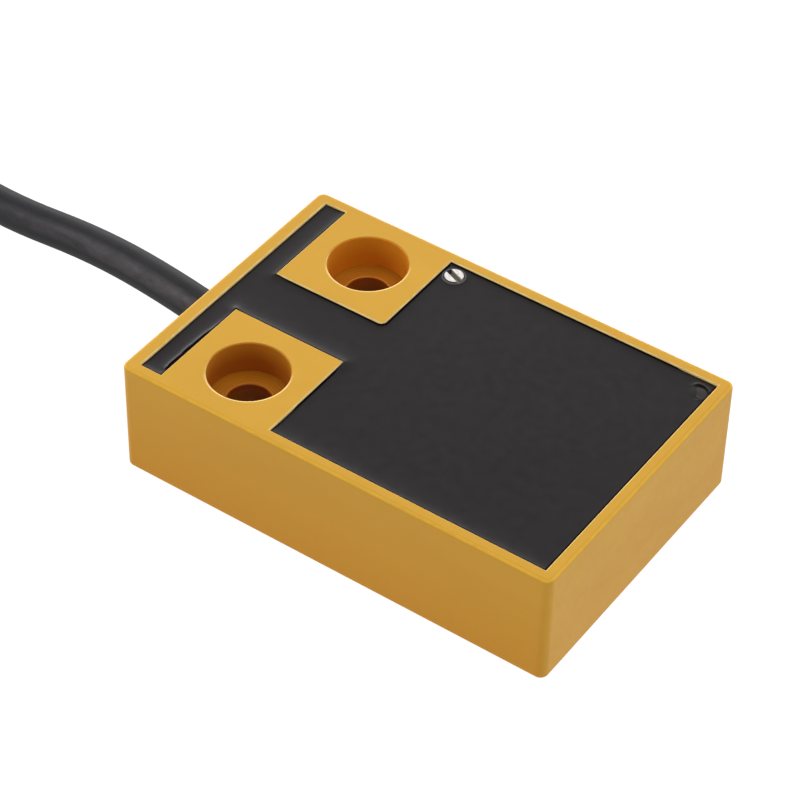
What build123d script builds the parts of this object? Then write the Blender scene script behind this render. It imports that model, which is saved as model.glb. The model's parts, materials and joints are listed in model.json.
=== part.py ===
from build123d import *
import os
from math import acos, atan2, cos, degrees, hypot, pi, radians, sin, sqrt, tan

# A flat capacitive proximity sensor: a moulded box whose pocket holds the electronics in potting resin.
# Millimetres. The origin is the centre of the underside, +X is the long way with the cable at -X,
# and +Z is up, towards the potted side.

# ---- housing ----
length = 60.0
width = 40.0
height = 16.0
corner_radius = 1.1
outer_fillet = 0.5
floor_thickness = 1.4
side_wall = 1.6
far_wall = 1.55
cable_wall = 1.85
pocket_break = 0.15
edge_margin = 0.1

# ---- mounting holes, each in a boss that stands in the pocket ----
hole_x = -17.2
hole_spacing = 24.0
hole_diameter = 5.5
recess_diameter = 10.0
recess_depth = 4.5
recess_break = 0.2
seat_break = 0.15
strip_width = 3.0
boss_length = 15.85
neck_width = 8.0
boss_round = 0.8

# ---- potting ----
potting_drop = 0.5

# ---- electrodes and boards ----
copper = 0.2
electrode_x = 9.5
electrode_radius = 11.0
guard_inner = 12.2
guard_outer = 15.2
electrode_board_size = (34.0, 34.0, 0.8)
shield_size = (31.0, 31.0)
board_gap = 0.7
board_thickness = 1.0
board_margin = 0.6
tongue_width = 6.8
tongue_end = -23.6
link_pin_radius = 0.3
link_spacing = 5.0
link_y = -16.3
pin_overhang = 0.35

# ---- multi-turn trimmer ----
screw_x = -7.55
screw_y = 16.45
trimmer_start = -9.15
trimmer_length = 9.53
trimmer_thickness = 4.4
trimmer_outer_y = 18.35
trimmer_height = 10.0
trimmer_wall = 0.55
trimmer_roof = 1.3
trimmer_floor = 0.7
head_radius = 1.175
head_height = 1.6
slot_width = 0.75
slot_length = 3.0
slot_depth = 0.7
slot_turn = -22.0
stem_radius = 0.7
thread_radius = 0.6
thread_core = 0.48
journal_radius = 0.35
journal_length = 0.4
running_gap = 0.04
thread_turns = 25
thread_pitch = 0.23
ring_section = 0.2
clip_thickness = 0.2
clip_radius = 0.95
clip_drop = 0.15
carriage_height = 1.6
carriage_side_gap = 0.12
carriage_reach = 3.05
element_gap = 2.2
element_thickness = 0.7
track_thickness = 0.06
track_width = 0.8
collar_inner = 1.3
collar_outer = 1.5
collar_rise = 0.26
trimmer_pin_radius = 0.25
trimmer_pin_pitch = 2.5
trimmer_pin_inset = 0.9
wiper_thickness = 0.12
wiper_edge = 0.1
wiper_point = 0.3
wiper_point_half = 0.25

# ---- indicator ----
led_x = 26.8
led_y = 16.3
led_radius = 1.4
led_dome_radius = 6.0
led_flange_radius = 1.55
led_flange_height = 0.9
led_barrel = 3.0
led_rise = 0.2
led_lead_size = 0.5
led_lead_spacing = 1.27

# ---- components, each size as length, width, height ----
leg_thickness = 0.2
leg_width = 0.4
leg_tuck = 0.6
chip_standoff = 0.15
chip_round = 0.15
small_chip_size = (4.9, 3.9, 1.6)
small_chip_legs = (4, 1.27, 1.0)
oscillator_spot = (4.0, -9.5)
comparator_spot = (14.5, -9.5)
regulator_size = (4.5, 2.5, 1.5)
regulator_legs = (3, 1.5, 0.9)
regulator_spot = (3.0, 4.0)
transistor_size = (6.5, 3.5, 1.7)
transistor_legs = (3, 2.3, 1.6)
transistor_spot = (19.5, 6.0)
tantalum_size = (7.3, 4.3, 2.9)
tantalum_spot = (6.5, 10.5)
choke_radius = 2.6
choke_height = 3.2
choke_spot = (21.5, -4.0)
diode_size = (4.3, 2.6, 2.2)
diode_spots = [(-4.5, -12.5), (-4.5, -8.0), (-4.5, -3.5)]
resistor_size = (2.0, 1.25, 0.55)
resistor_columns = (2.0, 6.0, 10.0, 14.0)
resistor_rows = (-2.5, 0.5)
capacitor_size = (2.0, 1.25, 1.25)
capacitor_columns = (8.5, 12.0)
capacitor_rows = (4.0, 7.0)
lone_capacitor_spots = [(22.0, -11.0), (22.0, -14.0)]

# ---- cable ----
cable_diameter = 4.6
arc_share = 0.45
cable_height = 8.0
sheath_inner_end = -22.6
grommet_radius = 3.3
grommet_flange_radius = 4.0
grommet_flange = 1.0
clamp_wall = 0.45
clamp_start = -26.6
clamp_end = -23.8
core_diameter = 1.3
core_ring = 1.05
tinned_diameter = 0.8
tinned_length = 6.0
core_straight = 5.0
joint_height = 1.2
joint_size = 1.5
joint_taper = 12.0
core_sag = 0.3
core_fan = 0.8
core_lift = 0.1
core_bends = (2.2, 5.4, 7.4)
cable_start_inset = 0.5
cable_start_offset = -0.1
landing_x = -13.2
landing_spacing = 2.3

# ---- put-away hank ----
hank_centre = (-135.0, 0.0)
hank_base = 0.7
hank_pitch = 4.65
hank_levels = 4
end_loop_radius = 18.95
end_loop_centre = 26.2
waist_half_width = 9.35
waist_half_length = 5.0
tie_width = 4.0
tie_thickness = 0.6

# ---- worked out ----
pocket_start = -length / 2 + cable_wall
pocket_end = length / 2 - far_wall
pocket_half_width = width / 2 - side_wall
boss_start = pocket_start + strip_width
boss_end = boss_start + boss_length
potting_top = height - potting_drop
electrode_top = floor_thickness + copper
electrode_board_top = electrode_top + electrode_board_size[2]
shield_bottom = electrode_board_top
shield_top = shield_bottom + copper
board_bottom = shield_top + board_gap
board_top = board_bottom + board_thickness
trimmer_top = board_top + trimmer_height
head_top = trimmer_top + head_height
cavity_top = trimmer_top - trimmer_roof
cavity_bottom = board_top + trimmer_floor
cable_radius = cable_diameter / 2
hank_top = hank_base + hank_levels * hank_pitch


def outline_t(inset=0.0):
    """The T-shaped pocket seen from above: end strip, neck between the bosses, and main field."""
    x = (pocket_start + inset, boss_start - inset, boss_end + inset, pocket_end - inset)
    wide = pocket_half_width - inset
    narrow = neck_width / 2 - inset
    corners = [(x[0], -wide), (x[1], -wide), (x[1], -narrow), (x[2], -narrow), (x[2], -wide), (x[3], -wide)]
    return corners + [(cx, -cy) for cx, cy in reversed(corners)]


def block(size, centre, base):
    """A rectangular piece with its underside at a height."""
    with BuildPart() as made:
        with BuildSketch(Plane.XY.offset(base)):
            with Locations(centre):
                Rectangle(size[0], size[1])
        extrude(amount=size[2])
    return made


def rod(radius, centre, base, rise):
    """A round upright piece."""
    with BuildPart() as made:
        with BuildSketch(Plane.XY.offset(base)):
            with Locations(centre):
                Circle(radius)
        extrude(amount=rise)
    return made


def upright(x, y):
    """A vertical plane whose first axis is +X and whose second is +Z."""
    return Plane(origin=(x, y, 0), x_dir=(1, 0, 0), z_dir=(0, -1, 0))


def crosswise(x, y, z):
    """A vertical plane across the long axis, whose first axis is +Y and whose second is +Z."""
    return Plane(origin=(x, y, z), x_dir=(0, 1, 0), z_dir=(1, 0, 0))


pieces = {}
inside_trimmer = ["trimmer_shell", "trimmer_base", "trimmer_element", "trimmer_tracks", "trimmer_seal"]
inside_trimmer += ["trimmer_screw", "screw_clip", "wiper_carriage", "wiper", "screw_collar"]


def keep(made, label):
    """Names a finished piece and writes its file."""
    made.part.label = label
    export_step(made.part, f"parts/{label}.step")
    pieces[label] = made
    return made


os.makedirs("parts", exist_ok=True)

# ======== housing ========
with BuildPart() as housing:
    with BuildSketch():
        RectangleRounded(length, width, corner_radius)
    extrude(amount=height)
    rims = housing.edges().group_by(Axis.Z)
    fillet(rims[0] + rims[-1], outer_fillet)
    with BuildSketch(Plane.XY.offset(floor_thickness)):
        with BuildLine():
            Polyline(*outline_t(), close=True)
        make_face()
    extrude(amount=height - floor_thickness, mode=Mode.SUBTRACT)
    upper_corner = housing.edges().filter_by(Axis.Z).sort_by_distance((boss_end, neck_width / 2, height))[0]
    fillet(upper_corner, boss_round)
    pocket_rim = (
        housing.edges().group_by(Axis.Z)[-1].filter_by(lambda e: abs(e.center().X) < pocket_end + edge_margin)
        .filter_by(lambda e: abs(e.center().Y) < pocket_half_width + edge_margin)
    )
    chamfer(pocket_rim, pocket_break)
    with Locations((hole_x, -hole_spacing / 2, height), (hole_x, hole_spacing / 2, height)):
        CounterBoreHole(hole_diameter / 2, recess_diameter / 2, recess_depth)
    recess_rims = housing.edges().filter_by(GeomType.CIRCLE).group_by(Axis.Z)[-1]
    fillet(recess_rims.filter_by(lambda e: abs(e.radius - recess_diameter / 2) < edge_margin), recess_break)
    seat_rims = housing.edges().filter_by(GeomType.CIRCLE).filter_by(
        lambda e: abs(e.radius - hole_diameter / 2) < edge_margin and e.center().Z > height / 2
    )
    chamfer(seat_rims, seat_break)
    with BuildSketch(crosswise(-length / 2, 0, cable_height)):
        Circle(grommet_radius)
    extrude(amount=cable_wall, mode=Mode.SUBTRACT)
keep(housing, "housing")

# ======== sensing electrodes, on the underside of their own board ========
keep(rod(electrode_radius, (electrode_x, 0), floor_thickness, copper), "sensing_electrode")

with BuildPart() as guard_ring:
    with BuildSketch(Plane.XY.offset(floor_thickness)):
        with Locations((electrode_x, 0)):
            Circle(guard_outer)
            Circle(guard_inner, mode=Mode.SUBTRACT)
    extrude(amount=copper)
keep(guard_ring, "guard_ring")

keep(block(electrode_board_size, (electrode_x, 0), electrode_top), "electrode_board")
keep(block((*shield_size, copper), (electrode_x, 0), electrode_board_top), "shield_plate")

# ======== trimmer: shell, resin base, element, tracks, seal, screw, clip, carriage and wiper ========
trimmer_centre = (trimmer_start + trimmer_length / 2, trimmer_outer_y - trimmer_thickness / 2)
cavity_size = (trimmer_length - 2 * trimmer_wall, trimmer_thickness - 2 * trimmer_wall)
seal_outer = stem_radius + running_gap + 2 * ring_section
with BuildPart() as trimmer_shell:
    with BuildSketch(Plane.XY.offset(board_top)):
        with Locations(trimmer_centre):
            Rectangle(trimmer_length, trimmer_thickness)
    extrude(amount=trimmer_height)
    with BuildSketch(Plane.XY.offset(board_top)):
        with Locations(trimmer_centre):
            Rectangle(*cavity_size)
    extrude(amount=trimmer_height - trimmer_roof, mode=Mode.SUBTRACT)
    with Locations((screw_x, screw_y, trimmer_top)):
        CounterBoreHole(stem_radius + running_gap, seal_outer, 2 * ring_section)
keep(trimmer_shell, "trimmer_shell")

with BuildPart() as trimmer_base:
    with BuildSketch(Plane.XY.offset(board_top)):
        with Locations(trimmer_centre):
            Rectangle(*cavity_size)
    extrude(amount=trimmer_floor)
    with Locations((screw_x, screw_y, cavity_bottom)):
        Hole(journal_radius + running_gap, depth=journal_length + running_gap)
keep(trimmer_base, "trimmer_base")

cavity_end = trimmer_start + trimmer_length - trimmer_wall
cavity_y = trimmer_centre[1]
element_x = cavity_end - element_gap
element_height = cavity_top - cavity_bottom
keep(
    block((element_thickness, cavity_size[1], element_height), (element_x, cavity_y), cavity_bottom),
    "trimmer_element",
)

track_x = element_x - element_thickness / 2 - track_thickness / 2
track_offset = cavity_size[1] / 4
with BuildPart() as trimmer_tracks:
    with BuildSketch(Plane.XY.offset(cavity_bottom)):
        with Locations((track_x, cavity_y - track_offset), (track_x, cavity_y + track_offset)):
            Rectangle(track_thickness, track_width)
    extrude(amount=element_height)
keep(trimmer_tracks, "trimmer_tracks")

pin_spots = [(cavity_end - trimmer_pin_inset - trimmer_pin_pitch * step, cavity_y) for step in range(3)]
with BuildPart() as trimmer_pins:
    with BuildSketch(Plane.XY.offset(board_top)):
        with Locations(*pin_spots):
            Circle(trimmer_pin_radius)
    extrude(amount=-(board_thickness + pin_overhang))
keep(trimmer_pins, "trimmer_pins")

with BuildPart() as trimmer_seal:
    with BuildSketch(upright(screw_x, screw_y)):
        with Locations((stem_radius + running_gap + ring_section, trimmer_top - ring_section)):
            Circle(ring_section - running_gap / 2)
    revolve(axis=Axis((screw_x, screw_y, 0), (0, 0, 1)))
keep(trimmer_seal, "trimmer_seal")

clip_top = cavity_top - clip_drop
clip_bottom = clip_top - clip_thickness
thread_top = clip_bottom - clip_drop
ridge_count = int((thread_top - cavity_bottom - thread_pitch) / thread_pitch)


def screw_profile():
    """Half the adjusting screw's outline, from the head down: head, stem, clip groove, thread, journal."""
    head_bottom = trimmer_top + running_gap
    points = [(0, head_top), (head_radius, head_top), (head_radius, head_bottom), (stem_radius, head_bottom)]
    points += [(stem_radius, clip_top), (thread_core, clip_top), (thread_core, clip_bottom)]
    points += [(stem_radius, clip_bottom), (stem_radius, thread_top), (thread_core, thread_top)]
    for ridge in range(ridge_count):
        crest = thread_top - (ridge + 0.5) * thread_pitch
        points += [(thread_radius, crest), (thread_core, crest - thread_pitch / 2)]
    shoulder = cavity_bottom + running_gap
    points += [(thread_core, shoulder), (journal_radius, shoulder)]
    return points + [(journal_radius, cavity_bottom - journal_length), (0, cavity_bottom - journal_length)]


with BuildPart() as trimmer_screw:
    with BuildSketch(upright(screw_x, screw_y)):
        with BuildLine():
            Polyline(*screw_profile(), close=True)
        make_face()
    revolve(axis=Axis((screw_x, screw_y, 0), (0, 0, 1)))
    with BuildSketch(Plane.XY.offset(head_top)):
        with Locations((screw_x, screw_y)):
            Rectangle(slot_length, slot_width, rotation=slot_turn)
    extrude(amount=-slot_depth, mode=Mode.SUBTRACT)
keep(trimmer_screw, "trimmer_screw")

with BuildPart() as screw_clip:
    with BuildSketch(Plane.XY.offset(clip_bottom)):
        with Locations((screw_x, screw_y)):
            Circle(clip_radius)
            Circle(thread_core, mode=Mode.SUBTRACT)
        with Locations((screw_x + clip_radius, screw_y)):
            Rectangle(2 * clip_radius, thread_core, mode=Mode.SUBTRACT)
    extrude(amount=clip_thickness)
keep(screw_clip, "screw_clip")

carriage_middle = (cavity_bottom + thread_top) / 2
carriage_start = trimmer_start + trimmer_wall + carriage_side_gap
carriage_end = carriage_start + carriage_reach
carriage_width = cavity_size[1] - 2 * carriage_side_gap
carriage_centre = ((carriage_start + carriage_end) / 2, cavity_y)
with BuildPart() as wiper_carriage:
    with BuildSketch(Plane.XY.offset(carriage_middle - carriage_height / 2)):
        with Locations(carriage_centre):
            Rectangle(carriage_end - carriage_start, carriage_width)
        with Locations((screw_x, screw_y)):
            Circle(thread_radius + running_gap, mode=Mode.SUBTRACT)
    extrude(amount=carriage_height)
keep(wiper_carriage, "wiper_carriage")

wiper_tip = track_x - track_thickness / 2 - running_gap - wiper_thickness / 2
wiper_root = carriage_end + wiper_thickness / 2
wiper_half = carriage_height / 2 - wiper_edge
with BuildPart() as wiper:
    with BuildSketch(upright(0, cavity_y - track_offset - track_width / 4)):
        with BuildLine():
            Polyline(
                (wiper_root, carriage_middle - wiper_half),
                (wiper_root, carriage_middle + wiper_half),
                (wiper_tip - wiper_point, carriage_middle + wiper_point_half),
                (wiper_tip, carriage_middle),
                (wiper_tip - wiper_point, carriage_middle - wiper_point_half),
            )
        trace(line_width=wiper_thickness)
    extrude(amount=-(2 * track_offset + track_width / 2))
    with BuildSketch(Plane.XY.offset(carriage_middle - carriage_height)):
        with Locations((wiper_tip, cavity_y)):
            Rectangle(2 * (wiper_tip - wiper_root) - wiper_thickness, 2 * track_offset - track_width / 2)
    extrude(amount=2 * carriage_height, mode=Mode.SUBTRACT)
keep(wiper, "wiper")

# A short tube round the screw's head, which keeps the resin out of it.
with BuildPart() as screw_collar:
    with BuildSketch(Plane.XY.offset(trimmer_top)):
        with Locations((screw_x, screw_y)):
            Circle(collar_outer)
            Circle(collar_inner, mode=Mode.SUBTRACT)
    extrude(amount=potting_top + collar_rise - trimmer_top)
keep(screw_collar, "screw_collar")

# ======== indicator ========
led_top = potting_top + led_rise
led_dome_centre = led_top - led_dome_radius
led_dome_edge = led_dome_centre + sqrt(led_dome_radius**2 - led_radius**2)
led_dome_start = degrees(acos(led_radius / led_dome_radius))
led_flange_base = led_dome_edge - led_barrel - led_flange_height
with BuildPart() as led_lens:
    with BuildSketch(upright(led_x, led_y)):
        with BuildLine():
            Polyline(
                (0, led_top),
                (0, led_flange_base),
                (led_flange_radius, led_flange_base),
                (led_flange_radius, led_flange_base + led_flange_height),
                (led_radius, led_flange_base + led_flange_height),
                (led_radius, led_dome_edge),
            )
            CenterArc((0, led_dome_centre), led_dome_radius, led_dome_start, 90 - led_dome_start)
        make_face()
    revolve(axis=Axis((led_x, led_y, 0), (0, 0, 1)))
keep(led_lens, "led_lens")

with BuildPart() as led_leads:
    with BuildSketch(Plane.XY.offset(board_bottom - pin_overhang)):
        with Locations((led_x, led_y - led_lead_spacing), (led_x, led_y + led_lead_spacing)):
            Rectangle(led_lead_size, led_lead_size)
    extrude(amount=led_flange_base - board_bottom + pin_overhang)
keep(led_leads, "led_leads")


# ======== circuit board, a T shape whose tongue reaches the cable ========
board_half_width = pocket_half_width - board_margin
board_start = boss_end + board_margin
board_end = pocket_end - board_margin
with BuildPart() as circuit_board:
    with BuildSketch(Plane.XY.offset(board_bottom)):
        with Locations(((board_start + board_end) / 2, 0)):
            Rectangle(board_end - board_start, 2 * board_half_width)
        with Locations(((tongue_end + board_start) / 2, 0)):
            Rectangle(board_start - tongue_end, tongue_width)
    extrude(amount=board_thickness)
    add(trimmer_pins.part, mode=Mode.SUBTRACT)
    add(led_leads.part, mode=Mode.SUBTRACT)
keep(circuit_board, "circuit_board")

link_spots = [(electrode_x + step * link_spacing, link_y) for step in (-1, 0, 1)]
with BuildPart() as board_links:
    with BuildSketch(Plane.XY.offset(shield_bottom)):
        with Locations(*link_spots):
            Circle(link_pin_radius)
    extrude(amount=board_bottom - shield_bottom)
keep(board_links, "board_links")


# ======== components on the board ========
def gull_wing_chip(body, centre, legs):
    """A moulded chip with flat legs on each long side, all one solid. Legs are a count, a pitch and a reach."""
    leg_count, leg_pitch, leg_reach = legs
    with BuildPart() as made:
        with BuildSketch(Plane.XY.offset(board_top + chip_standoff)):
            with Locations(centre):
                Rectangle(body[0], body[1])
        extrude(amount=body[2] - chip_standoff)
        fillet(made.edges().group_by(Axis.Z)[-1], chip_round)
        with BuildSketch(Plane.XY.offset(board_top)):
            with Locations(centre):
                with GridLocations(leg_pitch, body[1] + leg_reach, leg_count, 2):
                    Rectangle(leg_width, leg_reach + leg_tuck)
        extrude(amount=leg_thickness + chip_standoff)
    return made


def chips(size, spots):
    """Several small rectangular parts soldered to the board."""
    with BuildPart() as made:
        with BuildSketch(Plane.XY.offset(board_top)):
            with Locations(*spots):
                Rectangle(size[0], size[1])
        extrude(amount=size[2])
    return made


keep(gull_wing_chip(small_chip_size, oscillator_spot, small_chip_legs), "oscillator_chip")
keep(gull_wing_chip(small_chip_size, comparator_spot, small_chip_legs), "comparator_chip")
keep(gull_wing_chip(regulator_size, regulator_spot, regulator_legs), "voltage_regulator")
keep(gull_wing_chip(transistor_size, transistor_spot, transistor_legs), "output_transistor")
keep(chips(tantalum_size, [tantalum_spot]), "tantalum_capacitor")
keep(rod(choke_radius, choke_spot, board_top, choke_height), "filter_choke")
keep(chips(diode_size, diode_spots), "protection_diodes")
resistor_spots = [(x, y) for y in resistor_rows for x in resistor_columns]
keep(chips(resistor_size, resistor_spots), "chip_resistors")
capacitor_spots = [(x, y) for y in capacitor_rows for x in capacitor_columns] + lone_capacitor_spots
keep(chips(capacitor_size, capacitor_spots), "chip_capacitors")

# ======== cable entry ========
end_plane = crosswise(-length / 2, 0, cable_height)
with BuildPart() as cable_grommet:
    with BuildSketch(end_plane):
        Circle(grommet_radius)
    extrude(amount=cable_wall)
    with BuildSketch(end_plane.offset(cable_wall)):
        Circle(grommet_flange_radius)
    extrude(amount=grommet_flange)
    with BuildSketch(end_plane):
        Circle(cable_radius)
    extrude(amount=cable_wall + grommet_flange, mode=Mode.SUBTRACT)
keep(cable_grommet, "cable_grommet")

with BuildPart() as inner_sheath:
    with BuildSketch(end_plane):
        Circle(cable_radius)
    extrude(amount=sheath_inner_end + length / 2)
keep(inner_sheath, "inner_sheath")

with BuildPart() as cable_clamp:
    with BuildSketch(end_plane.offset(clamp_start + length / 2)):
        Circle(cable_radius + clamp_wall)
        Circle(cable_radius, mode=Mode.SUBTRACT)
    extrude(amount=clamp_end - clamp_start)
keep(cable_clamp, "cable_clamp")


# ======== cords: tubes along straight runs joined by tangent arcs ========
def corner_radii(route):
    """The largest arc that the two runs beside each corner leave room for."""
    radii = []
    for before, corner, after in zip(route, route[1:], route[2:]):
        arriving = Vector(corner) - Vector(before)
        leaving = Vector(after) - Vector(corner)
        turn = radians(arriving.get_angle(leaving))
        radii.append(arc_share * min(arriving.length, leaving.length) / tan(turn / 2))
    return radii


def tube(route, diameter, label, trim_plane=None):
    """A round cord along its route, cut flush with a plane if one is given."""
    radii = corner_radii(route)
    with BuildPart() as made:
        with BuildLine() as path:
            FilletPolyline(*route, radius=radii)
        with BuildSketch(Plane(origin=route[0], z_dir=Vector(route[1]) - Vector(route[0]))):
            Circle(diameter / 2)
        sweep()
        if trim_plane:
            split(bisect_by=trim_plane, keep=Keep.BOTTOM)
    long = sum(edge.length for edge in path.edges())
    expected = pi * diameter**2 / 4 * long
    arcs = [round(r, 1) for r in radii]
    print(f"{label}: {long:.1f} mm, radii {arcs}, volume {made.part.volume / expected:.4f}")
    return keep(made, label)


# The three cores inside the housing, from the end of the sheath down to the board's tongue.
core_colours = {"brown": 90, "blue": 210, "black": 330}
landing_side = {"brown": 0, "blue": -1, "black": 1}
for colour, angle in core_colours.items():
    start_y = core_ring * cos(radians(angle))
    start_z = cable_height + core_ring * sin(radians(angle))
    landing_y = landing_side[colour] * landing_spacing
    landing_z = board_top + core_diameter / 2
    inner_route = [
        (sheath_inner_end, start_y, start_z),
        (sheath_inner_end + core_bends[0], start_y, start_z),
        (sheath_inner_end + core_bends[1], landing_y * core_fan, (start_z + landing_z) / 2 - core_sag),
        (sheath_inner_end + core_bends[2], landing_y, landing_z + core_lift),
        (landing_x, landing_y, landing_z),
    ]
    tube(inner_route, core_diameter, f"{colour}_core")

with BuildPart() as solder_joints:
    with BuildSketch(Plane.XY.offset(board_top)):
        with Locations(*[(landing_x + joint_size / 2, side * landing_spacing) for side in (-1, 0, 1)]):
            Rectangle(joint_size, joint_size)
    extrude(amount=joint_height, taper=joint_taper)
keep(solder_joints, "solder_joints")

# ======== potting, which fills the pocket round everything in it ========
with BuildPart() as potting:
    with BuildSketch(Plane.XY.offset(floor_thickness)):
        with BuildLine():
            Polyline(*outline_t(), close=True)
        make_face()
    extrude(amount=potting_top - floor_thickness)
    potting_corners = potting.edges().filter_by(Axis.Z).sort_by_distance((boss_end, neck_width / 2, height))
    fillet(potting_corners[0], boss_round)
    with BuildSketch(Plane.XY.offset(floor_thickness)):
        with Locations((electrode_x, 0)):
            Circle(guard_outer)
    extrude(amount=copper, mode=Mode.SUBTRACT)
    with BuildSketch(Plane.XY.offset(board_top)):
        with Locations(trimmer_centre):
            Rectangle(trimmer_length, trimmer_thickness)
    extrude(amount=trimmer_height, mode=Mode.SUBTRACT)
    with BuildSketch(Plane.XY.offset(trimmer_top)):
        with Locations((screw_x, screw_y)):
            Circle(collar_outer)
    extrude(amount=potting_top - trimmer_top, mode=Mode.SUBTRACT)
    for label, embedded in pieces.items():
        if label != "housing" and label not in inside_trimmer:
            add(embedded.part, mode=Mode.SUBTRACT)
keep(potting, "potting")

# The cable from the end face to the floor and on to the put-away hank.
cable_route = [
    (-length / 2 + cable_start_inset, cable_start_offset, cable_height),
    (-38.0, 1.6, 8.0),
    (-53.0, 3.4, 6.7),
    (-68.0, 3.5, 5.0),
    (-82.0, 6.4, 3.2),
    (-95.8, 12.4, 2.6),
    (-108.8, 18.95, 3.0),
]
tube(cable_route, cable_diameter, "cable", trim_plane=end_plane)


def tangent_point(corner, radius, centre_x):
    """Where a line from a corner touches a circle on the X axis."""
    reach = hypot(centre_x - corner[0], corner[1])
    angle = atan2(corner[1], corner[0] - centre_x) - acos(min(1.0, radius / reach))
    return (centre_x + radius * cos(angle), radius * sin(angle))


# The hank's outer shape: two end loops drawn together at a tied waist.
hank_loop = end_loop_radius + hank_pitch / 2
waist_corner = (waist_half_length, waist_half_width)
touch = tangent_point(waist_corner, hank_loop, end_loop_centre)
quarter = [waist_corner, touch]
right_side = quarter + [(x, -y) for x, y in reversed(quarter)]
hank_outline = right_side + [(-x, y) for x, y in reversed(right_side)]
with BuildPart() as cable_hank:
    with BuildSketch(Plane.XY.offset(hank_base)):
        with Locations(hank_centre):
            Polygon(*hank_outline, align=None)
            with Locations((end_loop_centre, 0), (-end_loop_centre, 0)):
                Circle(hank_loop)
    extrude(amount=hank_levels * hank_pitch)
keep(cable_hank, "cable_hank")

with BuildPart() as hank_tie:
    with BuildSketch(crosswise(hank_centre[0] - tie_width / 2, hank_centre[1], 0)):
        with Locations((0, (hank_base + hank_top) / 2)):
            Rectangle(2 * (waist_half_width + tie_thickness), hank_top - hank_base + 2 * tie_thickness)
            Rectangle(2 * waist_half_width, hank_top - hank_base, mode=Mode.SUBTRACT)
    extrude(amount=tie_width)
keep(hank_tie, "hank_tie")

# The cable's own end leaves the top of the hank and lies on it, stripped back to its three cores.
hank_x = hank_centre[0]
end_route = [
    (hank_x + 43.0, -8.0, 18.2),
    (hank_x + 45.0, 3.0, 19.2),
    (hank_x + 40.5, 12.8, 20.4),
    (hank_x + 31.0, 18.3, 21.3),
    (hank_x + 20.5, 18.2, 21.65),
    (hank_x + 11.5, 12.6, 21.7),
]
tube(end_route, cable_diameter, "cable_end")

# The stripped cores lie on the hank, each with a tinned tip.
end_direction = (Vector(end_route[-1]) - Vector(end_route[-2])).normalized()
across = Vector(0, 0, 1).cross(end_direction)
core_resting = {
    "brown": [(0.5, 5.4, 21.9), (-8.0, 1.6, 20.5), (-17.0, -1.0, 20.0), (-25.0, -2.0, 20.0)],
    "blue": [(-1.0, 8.2, 20.9), (-10.0, 8.0, 20.3), (-19.0, 10.2, 20.0), (-26.5, 13.6, 20.0)],
    "black": [(1.5, 2.6, 20.8), (-6.0, -3.5, 20.4), (-14.0, -8.5, 20.0), (-21.0, -11.0, 20.0)],
}
for colour, angle in core_colours.items():
    start = Vector(end_route[-1]) + across * (core_ring * cos(radians(angle)))
    start += Vector(0, 0, core_ring * sin(radians(angle)))
    lead_route = [tuple(start), tuple(start + end_direction * core_straight)]
    lead_route += [(hank_x + x, y, z) for x, y, z in core_resting[colour]]
    tube(lead_route, core_diameter, f"{colour}_lead")

with BuildPart() as tinned_tips:
    for resting in core_resting.values():
        x, y, z = resting[-1]
        before = Vector(*resting[-2])
        with BuildSketch(Plane(origin=(hank_x + x, y, z), z_dir=Vector(x, y, z) - before)):
            Circle(tinned_diameter / 2)
        extrude(amount=tinned_length)
keep(tinned_tips, "tinned_tips")
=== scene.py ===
"""The looks of a flat capacitive proximity sensor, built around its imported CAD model. Units are metres."""

import json
from math import atan2, cos, exp, hypot, pi, radians, sin

import bmesh
import bpy
from mathutils import Matrix, Vector


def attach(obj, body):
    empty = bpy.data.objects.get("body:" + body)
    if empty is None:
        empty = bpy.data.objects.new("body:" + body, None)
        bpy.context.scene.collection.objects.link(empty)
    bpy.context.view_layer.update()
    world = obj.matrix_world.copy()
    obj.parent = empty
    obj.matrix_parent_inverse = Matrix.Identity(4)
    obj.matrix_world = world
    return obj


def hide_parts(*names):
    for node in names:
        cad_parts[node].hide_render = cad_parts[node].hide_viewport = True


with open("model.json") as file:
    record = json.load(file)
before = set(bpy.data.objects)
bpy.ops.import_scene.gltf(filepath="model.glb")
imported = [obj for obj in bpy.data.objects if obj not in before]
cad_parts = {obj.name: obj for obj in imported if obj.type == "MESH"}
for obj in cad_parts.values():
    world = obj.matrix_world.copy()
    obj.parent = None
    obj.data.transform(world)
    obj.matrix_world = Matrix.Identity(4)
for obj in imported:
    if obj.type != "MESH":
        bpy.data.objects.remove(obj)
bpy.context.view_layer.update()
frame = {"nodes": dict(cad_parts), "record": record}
nodes = frame["nodes"]
scene = bpy.context.scene
MM = 0.001
BODY = "sensor"


# ---------------------------------------------------------------- camera, light and floor
CAMERA_FOCUS = Vector((-4.9, 1.5, 8.0)) * MM
CAMERA_DISTANCE = 0.3647
CAMERA_AZIMUTH = radians(34.21)
CAMERA_ELEVATION = radians(43.09)
CAMERA_ROLL = radians(1.29)
CAMERA_LENS = 137.2
SENSOR_WIDTH = 36.0
FLOOR_GLOW = 0.95
FLOOR_DROP = 0.02 * MM
FLOOR_HALF = 3.0
TENT_BACK = (-0.3, 0.75, 0.59)
TENT_FRONT_LIGHT = 0.3
TENT_BACK_LIGHT = 0.8
WINDOW_WAY = (-0.57, 0.82, 0.0)
WINDOW_LIGHT = 3.2
WINDOW_EDGES = (0.15, 0.52)
KEY_SIZE = (1.0, 1.0)
SIDE_SIZE = (0.35, 0.35)
KEY_PLACE = (0.25, 0.1, 1.1)
KEY_POWER = 4.9
SIDE_PLACE = (-0.67, -0.46, 0.57)
SIDE_POWER = 2.1


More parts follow.
